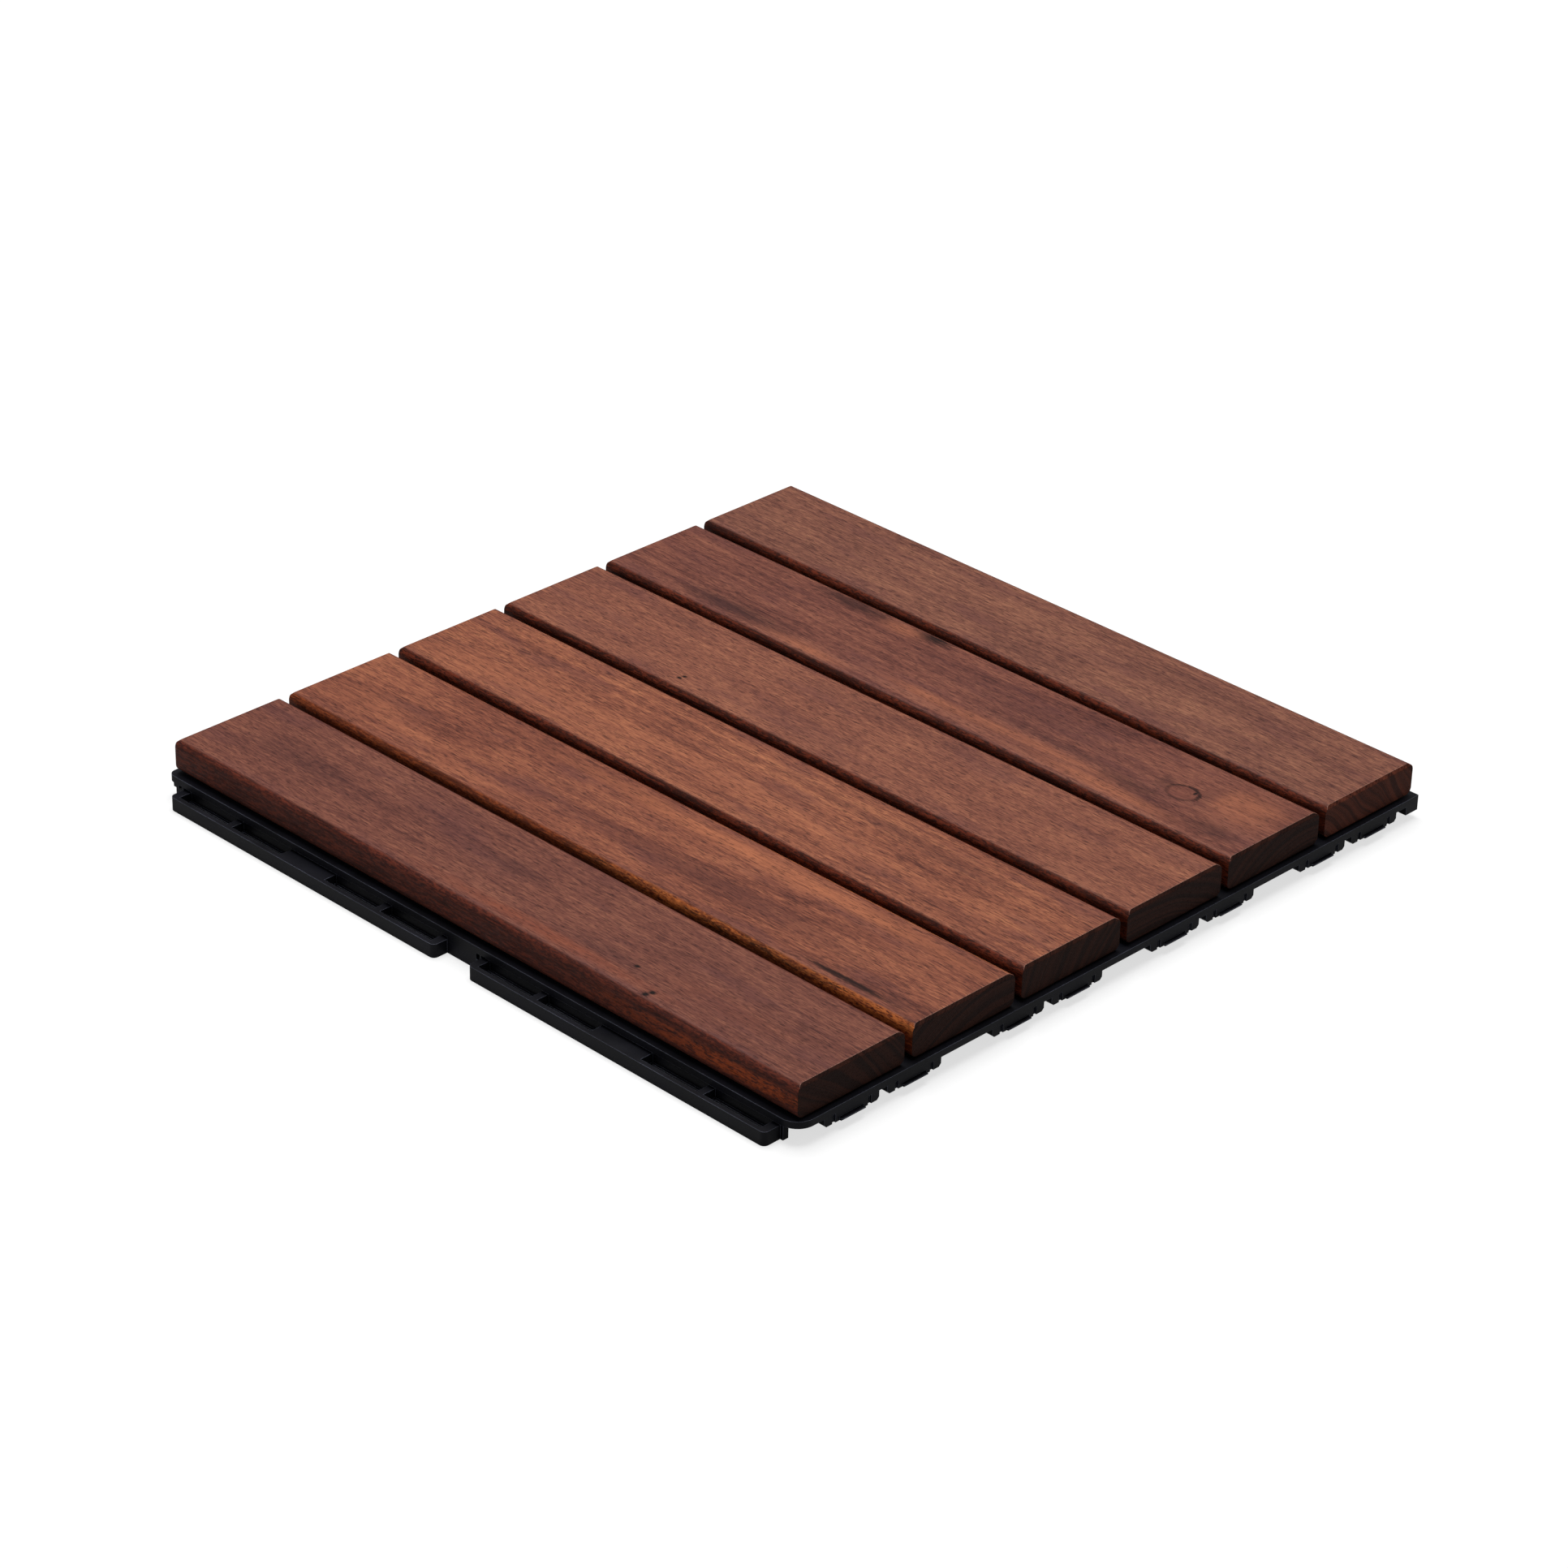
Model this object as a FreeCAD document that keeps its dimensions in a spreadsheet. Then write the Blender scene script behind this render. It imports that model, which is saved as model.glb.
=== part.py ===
import FreeCAD, Part
import os
import Sketcher

# Interlocking deck tile: six hardwood slats screwed from below to one moulded plastic base.
# Millimetres. X runs along the slats, +Z is up, and the origin is the middle of the base on the ground.

SIZES = {
    # Slats
    "slat_count": 6,
    "slat_length": 300,
    "slat_width": 47.2,
    "slat_thickness": 12,
    "slat_gap": 3.36,
    "slat_top_round": 2.8,
    "slat_bottom_round": 2.4,
    "slat_end_bevel": 1,
    # Base as a whole
    "base_overhang": 2,
    "base_height": 9.5,
    # Rim, the plate that runs all round the base
    "rim_drop": 0.8,
    "rim_thickness": 2.6,
    "rim_corner_round": 7,
    # Lattice below the slats
    "rib_thickness": 2.4,
    "rib_ground_gap": 1.5,
    "cells_across": 12,
    "foot_width": 9,
    "foot_height": 4,
    "feet_across": 3,
    "cells_between_feet": 4,
    # Snap blocks, in pairs below the rim on two sides
    "pairs_per_side": 4,
    "block_width": 24.4,
    "block_depth": 3.2,
    "block_drop": 3.2,
    "block_corner_bevel": 1,
    "pair_notch": 3.6,
    "clip_bay": 11.5,
    "barb_width": 10.6,
    "barb_reach": 1,
    "barb_height": 0.8,
    "barb_groove": 0.6,
    "flute_width": 1.4,
    "flute_depth": 0.7,
    "flute_inset": 3.6,
    "corner_lug_width": 6.4,
    # Ladders of slots on the other two sides, which take the blocks of the next tile
    "slot_clearance": 0.4,
    "slot_width": 4.2,
    "ladder_bar": 1.8,
    "ladder_height": 5.2,
    "ladder_end_wall": 3.2,
    "ladder_corner_round": 2,
    "skirt_thickness": 2.4,
    "barb_recess": 1,
    "ledge_height": 1.9,
    "corner_skirt_drop": 1.4,
    "skirt_corner_round": 3,
    "window_width": 1.6,
    "window_height": 2.2,
    "window_inset": 0.7,
    # Screws, and the webs in the lattice that they pass through
    "screws_per_slat": 2,
    "screw_cell": 2,
    "screw_length": 12,
    "shank_radius": 1.75,
    "head_radius": 3.5,
    "head_height": 2.2,
    "pilot_clearance": 0.15,
    "web_width": 14,
    "web_thickness": 3,
}

doc = FreeCAD.newDocument("deck_tile")
sheet = doc.addObject("Spreadsheet::Sheet", "sizes")
for row, (alias, number) in enumerate(SIZES.items(), 1):
    sheet.set(f"A{row}", alias)
    sheet.set(f"B{row}", str(number))
    sheet.setAlias(f"B{row}", alias)
doc.recompute()

# Sizes that follow from the ones above, as expressions.
SLAT_PITCH = "(sizes.slat_width + sizes.slat_gap)"
DECK_WIDTH = f"(sizes.slat_count * {SLAT_PITCH} - sizes.slat_gap)"
HALF_LENGTH = "(sizes.slat_length / 2 + sizes.base_overhang)"
HALF_WIDTH = f"({DECK_WIDTH} / 2 + sizes.base_overhang)"
RIM_TOP = "(sizes.base_height - sizes.rim_drop)"
RIM_UNDERSIDE = f"({RIM_TOP} - sizes.rim_thickness)"
BLOCK_PITCH = "(sizes.block_width + sizes.pair_notch)"
SLOT_LENGTH = "(sizes.block_width + 2 * sizes.slot_clearance)"
FIRST_SLAT = f"({SLAT_PITCH} * (sizes.slat_count - 1) / 2)"
HEAD_SEAT = "(sizes.base_height - sizes.web_thickness)"
SCREW_TIP = f"({HEAD_SEAT} + sizes.screw_length)"
SKIRT_INSET = "(sizes.barb_recess + sizes.skirt_thickness)"
WALL_INSET = "(sizes.clip_bay + sizes.rib_thickness)"

# The inner face of the wall round the lattice, one cell of the lattice, and the screws in the middle of
# a cell, counted from the rim.
WALL_X = f"({HALF_LENGTH} - {WALL_INSET})"
WALL_Y = f"({HALF_WIDTH} - {WALL_INSET})"
CELL_X = f"(2 * {HALF_LENGTH} / sizes.cells_across)"
CELL_Y = f"(2 * {HALF_WIDTH} / sizes.cells_across)"
FIRST_SCREW = f"({CELL_X} * ((sizes.cells_across + 1) / 2 - sizes.screw_cell))"


def size(expression):
    """The number that an expression stands for now."""
    return float(sheet.evalExpression(expression))


def origin_feature(body, role):
    """The plane or axis of the body's own origin with this role."""
    return next(item for item in body.Origin.OriginFeatures if item.Role == role)


def moulding(name):
    """A body for one group of like forms, which may lie apart from each other."""
    body = doc.addObject("PartDesign::Body", name)
    body.AllowCompound = True
    return body


def new_sketch(body, name, plane="XY_Plane", offset="0"):
    """An empty sketch, parallel to an origin plane of its body."""
    sketch = body.newObject("Sketcher::SketchObject", name)
    sketch.AttachmentSupport = [(origin_feature(body, plane), "")]
    sketch.MapMode = "FlatFace"
    sketch.setExpression("AttachmentOffset.Base.z", offset)
    return sketch


def pin_point(sketch, geometry, point, place):
    """Hold a point of the sketch at a place given by two expressions."""
    for kind, expression in zip(("DistanceX", "DistanceY"), place):
        value = size(expression)
        index = sketch.addConstraint(Sketcher.Constraint(kind, -1, 1, geometry, point, value))
        sketch.setExpression(f"Constraints[{index}]", expression)


def polygon(sketch, corners):
    """A closed outline of straight lines through corners given as pairs of expressions."""
    points = [FreeCAD.Vector(size(across), size(up), 0) for across, up in corners]
    first = sketch.GeometryCount
    for start, end in zip(points, points[1:] + points[:1]):
        sketch.addGeometry(Part.LineSegment(start, end), False)
    for index in range(len(points)):
        following = first + (index + 1) % len(points)
        sketch.addConstraint(Sketcher.Constraint("Coincident", first + index, 2, following, 1))
    for index, corner in enumerate(corners):
        pin_point(sketch, first + index, 1, corner)


def rectangle(sketch, start, end):
    """A rectangle between two opposite corners."""
    polygon(sketch, [start, (end[0], start[1]), end, (start[0], end[1])])


def circle(sketch, centre, radius):
    """A circle about a centre."""
    middle = FreeCAD.Vector(size(centre[0]), size(centre[1]), 0)
    index = sketch.addGeometry(Part.Circle(middle, FreeCAD.Vector(0, 0, 1), size(radius)), False)
    pin_point(sketch, index, 3, centre)
    rule = sketch.addConstraint(Sketcher.Constraint("Radius", index, size(radius)))
    sketch.setExpression(f"Constraints[{rule}]", radius)


def pad(body, name, sketch, length, symmetric=False):
    """Material added on the sketch, upwards or to both sides of its plane."""
    feature = body.newObject("PartDesign::Pad", name)
    feature.Profile = sketch
    feature.setExpression("Length", length)
    feature.SideType = "Symmetric" if symmetric else "One side"
    return feature


def pocket(body, name, sketch, depth, upwards=False, symmetric=False):
    """Material taken away below, above or to both sides of the sketch."""
    feature = body.newObject("PartDesign::Pocket", name)
    feature.Profile = sketch
    feature.setExpression("Length", depth)
    feature.Reversed = upwards
    feature.SideType = "Symmetric" if symmetric else "One side"
    return feature


def pattern(body, name, features, axis, extent, count, second=None):
    """Features repeated along an origin axis, and along a second one where it is given."""
    feature = body.newObject("PartDesign::LinearPattern", name)
    feature.Originals = features
    feature.Direction = (origin_feature(body, axis), [""])
    feature.setExpression("Length", extent)
    feature.setExpression("Occurrences", count)
    if second:
        feature.Direction2 = (origin_feature(body, second[0]), [""])
        feature.setExpression("Length2", second[1])
        feature.setExpression("Occurrences2", second[2])
    body.Tip = feature
    return feature


def dress_edges(body, kind, name, base, chosen, amount):
    """A fillet or chamfer on the edges of the base feature that a test picks."""
    doc.recompute()
    names = [f"Edge{number}" for number, edge in enumerate(base.Shape.Edges, 1) if chosen(edge)]
    feature = body.newObject(f"PartDesign::{kind}", name)
    feature.Base = (base, names)
    feature.setExpression("Radius" if kind == "Fillet" else "Size", amount)
    return feature


def near(value, expression):
    """Whether a coordinate is at the place that an expression gives."""
    return abs(value - size(expression)) < 1e-4


class Side:
    """One side of the base: the axis that it faces, and which way along that axis."""

    def __init__(self, name, faces, sign):
        self.name = name
        self.faces = faces
        self.sign = sign
        self.reach = HALF_LENGTH if faces == "X" else HALF_WIDTH
        self.run = HALF_WIDTH if faces == "X" else HALF_LENGTH
        self.axis = "Y_Axis" if faces == "X" else "X_Axis"
        self.pair_pitch = f"(2 * {self.run} / sizes.pairs_per_side)"
        self.first_block = f"(({BLOCK_PITCH} + {self.pair_pitch} * (sizes.pairs_per_side - 1)) / 2)"
        self.ladder_end = f"({self.first_block} + {SLOT_LENGTH} / 2 + sizes.ladder_end_wall)"

    def plan(self, along, outward):
        """A place on the ground plan, from how far it is along the side and out from the middle."""
        out = f"{self.sign} * ({outward})"
        return (out, along) if self.faces == "X" else (along, out)

    def front_sketch(self, body, name, outward):
        """A sketch seen from outside: along the side, and up."""
        plane = "YZ_Plane" if self.faces == "X" else "XZ_Plane"
        sign = self.sign if self.faces == "X" else -self.sign
        return new_sketch(body, name, plane, f"{sign} * ({outward})")

    def section_sketch(self, body, name, along):
        """A sketch across the side: out from the middle, and up."""
        if self.faces == "X":
            return new_sketch(body, name, "XZ_Plane", f"-({along})")
        return new_sketch(body, name, "YZ_Plane", along)

    def repeat_blocks(self, body, name, features):
        """The features repeated from the first block to every block of every pair."""
        blocks = (self.axis, BLOCK_PITCH, "2")
        run = f"{self.pair_pitch} * (sizes.pairs_per_side - 1)"
        return pattern(body, name, features, self.axis, run, "sizes.pairs_per_side", blocks)


RIGHT = Side("right", "X", 1)
BACK = Side("back", "Y", 1)
FRONT = Side("front", "Y", -1)
LEFT = Side("left", "X", -1)

# The corner between the ladder sides is rounded no further than halfway to the nearest ladder.
HALFWAY = "; ".join(f"({side.run} - {side.ladder_end}) / 2" for side in (FRONT, LEFT))
LADDER_CORNER = f"min(sizes.skirt_corner_round; {HALFWAY})"


def snap_blocks(side):
    """The side whose blocks drop into the next tile: pairs of blocks, each with a barb."""
    body = moulding(f"{side.name}_snap_blocks")
    # A block hangs from the rim, flush with its edge, with both lower corners bevelled.
    first = f"(-{side.first_block})"
    floor = f"({RIM_UNDERSIDE} - sizes.block_drop)"
    front = side.front_sketch(body, f"{side.name}_block_front", f"{side.reach} - sizes.block_depth / 2")
    left = f"({first} - sizes.block_width / 2)"
    right = f"({first} + sizes.block_width / 2)"
    bevel = "sizes.block_corner_bevel"
    polygon(front, [
        (left, RIM_UNDERSIDE),
        (left, f"{floor} + {bevel}"),
        (f"{left} + {bevel}", floor),
        (f"{right} - {bevel}", floor),
        (right, f"{floor} + {bevel}"),
        (right, RIM_UNDERSIDE),
    ])
    block = pad(body, f"{side.name}_block", front, "sizes.block_depth", symmetric=True)

    # The barb stands out along the foot of the block, sloped below so that it snaps in.
    section = side.section_sketch(body, f"{side.name}_barb_section", first)
    barb_top = f"{floor} + sizes.barb_height"
    tip = f"{side.sign} * ({side.reach} + sizes.barb_reach)"
    face = f"{side.sign} * ({side.reach} - sizes.block_depth / 2)"
    lead = f"{side.sign} * ({side.reach} + sizes.barb_reach / 2)"
    polygon(section, [
        (face, floor),
        (lead, floor),
        (tip, f"{floor} + sizes.barb_height / 2"),
        (tip, barb_top),
        (face, barb_top),
    ])
    barb = pad(body, f"{side.name}_barb", section, "sizes.barb_width", symmetric=True)

    # A shallow groove runs above the barb.
    groove_section = side.section_sketch(body, f"{side.name}_groove_section", first)
    rectangle(groove_section,
              (f"{side.sign} * ({side.reach} - sizes.barb_groove)", barb_top),
              (f"{side.sign} * ({side.reach} + sizes.barb_reach)", f"{barb_top} + sizes.barb_groove"))
    groove = pocket(body, f"{side.name}_groove", groove_section, "sizes.barb_width", symmetric=True)

    # Two flutes run down the face of each block.
    flute_plan = new_sketch(body, f"{side.name}_flute_plan", offset=RIM_UNDERSIDE)
    for start, end in ((left, "sizes.flute_inset"), (right, "-sizes.flute_inset - sizes.flute_width")):
        rectangle(flute_plan,
                  side.plan(f"{start} + {end}", side.reach),
                  side.plan(f"{start} + {end} + sizes.flute_width", f"{side.reach} - sizes.flute_depth"))
    flutes = pocket(body, f"{side.name}_flutes", flute_plan, "sizes.block_drop")
    side.repeat_blocks(body, f"{side.name}_blocks", [block, barb, groove, flutes])
    return body


def ladders(side):
    """The side whose slots take the next tile's blocks: a skirt below the rim and two ladders."""
    body = moulding(f"{side.name}_ladder_side")
    # The skirt stands below the rim, set back far enough for a barb to sit in front of it. It starts
    # behind the rounded corner of the rim.
    skirt_plan = new_sketch(body, f"{side.name}_skirt_plan")
    skirt_face = f"({side.reach} - sizes.barb_recess)"
    corner = f"({LADDER_CORNER} - {side.run})"
    rectangle(skirt_plan,
              side.plan(corner, f"{side.reach} - {SKIRT_INSET}"),
              side.plan(f"{side.run} - sizes.rim_corner_round", skirt_face))
    pad(body, f"{side.name}_skirt", skirt_plan, RIM_UNDERSIDE)

    # Each ladder is one level plate from the skirt out to the bar, with rounded outer corners.
    end = side.ladder_end
    start = f"({side.pair_pitch} - ({end} - {side.pair_pitch}))"
    bar_face = f"({side.reach} + sizes.slot_width + sizes.ladder_bar)"
    plate_plan = new_sketch(body, f"{side.name}_ladder_plan")
    for direction in ("-1", "1"):
        rectangle(plate_plan,
                  side.plan(f"{direction} * {start}", skirt_face),
                  side.plan(f"{direction} * {end}", bar_face))
    plates = pad(body, f"{side.name}_ladders", plate_plan, "sizes.ladder_height")

    def outer_corner(edge):
        upright = edge.BoundBox.ZLength > size("sizes.ladder_height") / 2
        out = edge.CenterOfMass.x if side.faces == "X" else edge.CenterOfMass.y
        return upright and near(out, f"{side.sign} * {bar_face}")

    dress_edges(body, "Fillet", f"{side.name}_ladder_corners", plates, outer_corner,
                "sizes.ladder_corner_round")

    # The middle post between the ladders and the short skirt at the corner are flush with the rim.
    flush_plan = new_sketch(body, f"{side.name}_post_plan")
    rectangle(flush_plan, side.plan(f"-{start}", skirt_face), side.plan(start, side.reach))
    pad(body, f"{side.name}_post", flush_plan, RIM_UNDERSIDE)
    corner_plan = new_sketch(body, f"{side.name}_corner_plan",
                             offset=f"{RIM_UNDERSIDE} - sizes.corner_skirt_drop")
    rectangle(corner_plan, side.plan(corner, skirt_face), side.plan(f"-{end}", side.reach))
    pad(body, f"{side.name}_corner_skirt", corner_plan, "sizes.corner_skirt_drop")

    # A small window pierces the skirt at the start of each ladder.
    window_middle = f"{side.reach} - {SKIRT_INSET} / 2"
    window_front = side.front_sketch(body, f"{side.name}_window_front", window_middle)
    for ladder_end in (f"-{end}", start):
        right = f"{ladder_end} - sizes.window_inset"
        rectangle(window_front,
                  (f"{right} - sizes.window_width", f"{RIM_UNDERSIDE} - sizes.window_height"),
                  (right, RIM_UNDERSIDE))
    pocket(body, f"{side.name}_windows", window_front, SKIRT_INSET, symmetric=True)

    # A slot is open right through, and wider above the ledge that the barb snaps over.
    slot_section = side.section_sketch(body, f"{side.name}_slot_section", f"(-{side.first_block})")
    flush = f"{side.sign} * {side.reach}"
    bar_back = f"{side.sign} * ({side.reach} + sizes.slot_width)"
    polygon(slot_section, [
        (flush, "0"),
        (bar_back, "0"),
        (bar_back, "sizes.ladder_height"),
        (f"{side.sign} * {skirt_face}", "sizes.ladder_height"),
        (f"{side.sign} * {skirt_face}", "sizes.ledge_height"),
        (flush, "sizes.ledge_height"),
    ])
    slot = pocket(body, f"{side.name}_slot", slot_section, SLOT_LENGTH, symmetric=True)
    side.repeat_blocks(body, f"{side.name}_slots", [slot])
    return body


def rib_set(name, axis, low, high, extent, count):
    """Upright ribs side by side, each as long as the lattice."""
    body = moulding(f"{name}_set")
    plan = new_sketch(body, f"{name}_plan", offset="sizes.rib_ground_gap")
    rectangle(plan, low, high)
    rib = pad(body, name, plan, "sizes.base_height - sizes.rib_ground_gap")
    pattern(body, f"{name}s", [rib], axis, extent, count)
    return body


def lattice():
    """Two long ribs under each slat, cross ribs over its length, and a wall round them all."""
    half_rib = "sizes.rib_thickness / 2"
    first = f"(-{CELL_Y} * (sizes.cells_across - 3) / 2)"
    run = f"{CELL_Y} * (sizes.cells_across - 3)"
    long_ribs = rib_set("long_rib", "Y_Axis",
                        (f"-{WALL_X}", f"{first} - {half_rib}"), (WALL_X, f"{first} + {half_rib}"),
                        run, "sizes.cells_across - 2")
    first = f"(-{CELL_X} * (sizes.cells_across - 2) / 2)"
    run = f"{CELL_X} * (sizes.cells_across - 2)"
    cross_ribs = rib_set("cross_rib", "X_Axis",
                         (f"{first} - {half_rib}", f"-{WALL_Y}"), (f"{first} + {half_rib}", WALL_Y),
                         run, "sizes.cells_across - 1")
    wall = moulding("lattice_wall_set")
    plan = new_sketch(wall, "lattice_wall_plan", offset="sizes.rib_ground_gap")
    outer_x = f"({WALL_X} + sizes.rib_thickness)"
    outer_y = f"({WALL_Y} + sizes.rib_thickness)"
    rectangle(plan, (f"-{WALL_X}", f"-{WALL_Y}"), (WALL_X, WALL_Y))
    rectangle(plan, (f"-{outer_x}", f"-{outer_y}"), (outer_x, outer_y))
    pad(wall, "lattice_wall", plan, "sizes.base_height - sizes.rib_ground_gap")
    return [long_ribs, cross_ribs, wall]


def feet():
    """Square feet on the ground below the cross ribs, one of them at the origin."""
    body = moulding("foot_set")
    run = "(sizes.cells_between_feet * (sizes.feet_across - 1))"
    plan = new_sketch(body, "foot_plan")
    first = (f"-{CELL_X} * {run} / 2", f"-{CELL_Y} * {run} / 2")
    rectangle(plan,
              tuple(f"{middle} - sizes.foot_width / 2" for middle in first),
              tuple(f"{middle} + sizes.foot_width / 2" for middle in first))
    foot = pad(body, "foot", plan, "sizes.foot_height")
    rows = ("Y_Axis", f"{CELL_Y} * {run}", "sizes.feet_across")
    pattern(body, "feet", [foot], "X_Axis", f"{CELL_X} * {run}", "sizes.feet_across", rows)
    return body


def repeat_screws(body, name, features):
    """The features repeated from the first screw to every screw of every slat."""
    rows = ("Y_Axis", f"2 * {FIRST_SLAT}", "sizes.slat_count")
    return pattern(body, name, features, "X_Axis", f"2 * {FIRST_SCREW}", "sizes.screws_per_slat", rows)


def screw_webs():
    """A level web across the lattice at every screw, from one long rib to the next."""
    body = moulding("web_set")
    plan = new_sketch(body, "web_plan", offset=HEAD_SEAT)
    half_width = "sizes.web_width / 2"
    rectangle(plan,
              (f"-{FIRST_SCREW} - {half_width}", f"-{FIRST_SLAT} - {CELL_Y} / 2"),
              (f"-{FIRST_SCREW} + {half_width}", f"-{FIRST_SLAT} + {CELL_Y} / 2"))
    web = pad(body, "web", plan, "sizes.web_thickness")
    hole_plan = new_sketch(body, "web_hole_plan", offset="sizes.base_height")
    circle(hole_plan, (f"-{FIRST_SCREW}", f"-{FIRST_SLAT}"), "sizes.shank_radius + sizes.pilot_clearance")
    hole = pocket(body, "web_hole", hole_plan, "sizes.web_thickness")
    repeat_screws(body, "webs", [web, hole])
    return body


def rim():
    """The plate that runs all round the base, with a lug at the corner between the snap blocks."""
    body = moulding("rim_ring")
    plan = new_sketch(body, "rim_plan", offset=RIM_UNDERSIDE)
    rectangle(plan, (f"-{HALF_LENGTH}", f"-{HALF_WIDTH}"), (HALF_LENGTH, HALF_WIDTH))
    rectangle(plan, (f"-{WALL_X}", f"-{WALL_Y}"), (WALL_X, WALL_Y))
    plate = pad(body, "rim", plan, "sizes.rim_thickness")

    def outer_corner(edge):
        return near(abs(edge.CenterOfMass.x), HALF_LENGTH) and near(abs(edge.CenterOfMass.y), HALF_WIDTH)

    def mixed_corner(edge):
        return outer_corner(edge) and edge.CenterOfMass.x * edge.CenterOfMass.y < 0

    def ladder_corner(edge):
        return outer_corner(edge) and edge.CenterOfMass.x < 0 and edge.CenterOfMass.y < 0

    # The two corners where a ladder side meets a block side are the roundest, the corner between the
    # ladder sides less so, and the one between the block sides is square.
    mixed = dress_edges(body, "Fillet", "mixed_corners", plate, mixed_corner, "sizes.rim_corner_round")
    dress_edges(body, "Fillet", "ladder_corner", mixed, ladder_corner, LADDER_CORNER)

    lug_plan = new_sketch(body, "lug_plan", offset=f"{RIM_UNDERSIDE} - sizes.block_drop")
    lug = "sizes.corner_lug_width"
    wall = "sizes.block_depth"
    polygon(lug_plan, [
        (HALF_LENGTH, HALF_WIDTH),
        (f"{HALF_LENGTH} - {lug}", HALF_WIDTH),
        (f"{HALF_LENGTH} - {lug}", f"{HALF_WIDTH} - {wall}"),
        (f"{HALF_LENGTH} - {wall}", f"{HALF_WIDTH} - {wall}"),
        (f"{HALF_LENGTH} - {wall}", f"{HALF_WIDTH} - {lug}"),
        (HALF_LENGTH, f"{HALF_WIDTH} - {lug}"),
    ])
    pad(body, "corner_lug", lug_plan, "sizes.block_drop")
    return body


def build_base():
    """The base is one plastic moulding: all its forms joined."""
    forms = [rim()]
    forms += [snap_blocks(side) for side in (RIGHT, BACK)]
    forms += [ladders(side) for side in (FRONT, LEFT)]
    forms += lattice()
    forms += [feet(), screw_webs()]
    base = doc.addObject("Part::MultiFuse", "base")
    base.Label = "base_grid"
    base.Shapes = forms
    base.Refine = True
    return base


def build_slat(number):
    """One hardwood slat: a bar with rounded long edges, eased ends and blind pilot holes below."""
    body = doc.addObject("PartDesign::Body", f"slat_body_{number}")
    body.Label = f"slat_{number}"
    section = new_sketch(body, f"slat_section_{number}", "YZ_Plane")
    half_width = "sizes.slat_width / 2"
    rectangle(section, (f"-{half_width}", "0"), (half_width, "sizes.slat_thickness"))
    bar = pad(body, f"slat_bar_{number}", section, "sizes.slat_length", symmetric=True)

    # The saw's edge is eased across the top of both ends before the long edges are rounded.
    def end_edge(edge):
        at_end = near(abs(edge.CenterOfMass.x), "sizes.slat_length / 2")
        return at_end and near(edge.CenterOfMass.z, "sizes.slat_thickness")

    def long_edge(height):
        def chosen(edge):
            return edge.BoundBox.XLength > size("sizes.slat_width") and near(edge.CenterOfMass.z, height)
        return chosen

    eased = dress_edges(body, "Chamfer", f"end_edges_{number}", bar, end_edge, "sizes.slat_end_bevel")
    top = dress_edges(body, "Fillet", f"top_edges_{number}", eased, long_edge("sizes.slat_thickness"),
                      "sizes.slat_top_round")
    dress_edges(body, "Fillet", f"bottom_edges_{number}", top, long_edge("0"), "sizes.slat_bottom_round")

    pilot_plan = new_sketch(body, f"pilot_plan_{number}")
    circle(pilot_plan, (f"-{FIRST_SCREW}", "0"), "sizes.shank_radius + sizes.pilot_clearance")
    depth = f"{SCREW_TIP} - sizes.base_height + 2 * sizes.pilot_clearance"
    pilot = pocket(body, f"pilot_{number}", pilot_plan, depth, upwards=True)
    pattern(body, f"pilots_{number}", [pilot], "X_Axis", f"2 * {FIRST_SCREW}", "sizes.screws_per_slat")

    body.setExpression("Placement.Base.y", f"{SLAT_PITCH} * {number - 1} - {FIRST_SLAT}")
    body.setExpression("Placement.Base.z", "sizes.base_height")
    return body


def build_screws():
    """The screws that hold the slats: a flat head and a shank, turned as one."""
    body = doc.addObject("PartDesign::Body", "screws")
    body.Label = "slat_screws"
    body.AllowCompound = True
    profile = new_sketch(body, "screw_profile", "XZ_Plane", FIRST_SLAT)
    middle = f"-{FIRST_SCREW}"
    head_face = f"{HEAD_SEAT} - sizes.head_height"
    head = f"{middle} + sizes.head_radius"
    shank = f"{middle} + sizes.shank_radius"
    polygon(profile, [
        (middle, head_face),
        (head, head_face),
        (head, HEAD_SEAT),
        (shank, HEAD_SEAT),
        (shank, SCREW_TIP),
        (middle, SCREW_TIP),
    ])
    doc.recompute()
    turned = body.newObject("PartDesign::Revolution", "screw")
    turned.Profile = profile
    turned.ReferenceAxis = (profile, [f"Edge{profile.GeometryCount}"])
    turned.Angle = 360
    repeat_screws(body, "all_screws", [turned])
    return body


nodes = [build_slat(number) for number in range(1, int(size("sizes.slat_count")) + 1)]
nodes.append(build_base())
nodes.append(build_screws())
doc.recompute()

for item in doc.Objects:
    if "Invalid" in item.State or "Error" in item.State:
        raise RuntimeError(f"{item.Label} could not be made: {item.State}")
for node in nodes:
    if node.Shape.isNull() or not node.Shape.isValid():
        raise RuntimeError(f"{node.Label} has no valid shape")

os.makedirs("parts", exist_ok=True)
for node in nodes:
    node.Shape.exportStep(f"parts/{node.Label}.step")
    print(node.Label, len(node.Shape.Solids), round(node.Shape.Volume, 1), node.Shape.BoundBox)
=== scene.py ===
import math
import bmesh
import bpy
from mathutils import Matrix, Vector


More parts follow.
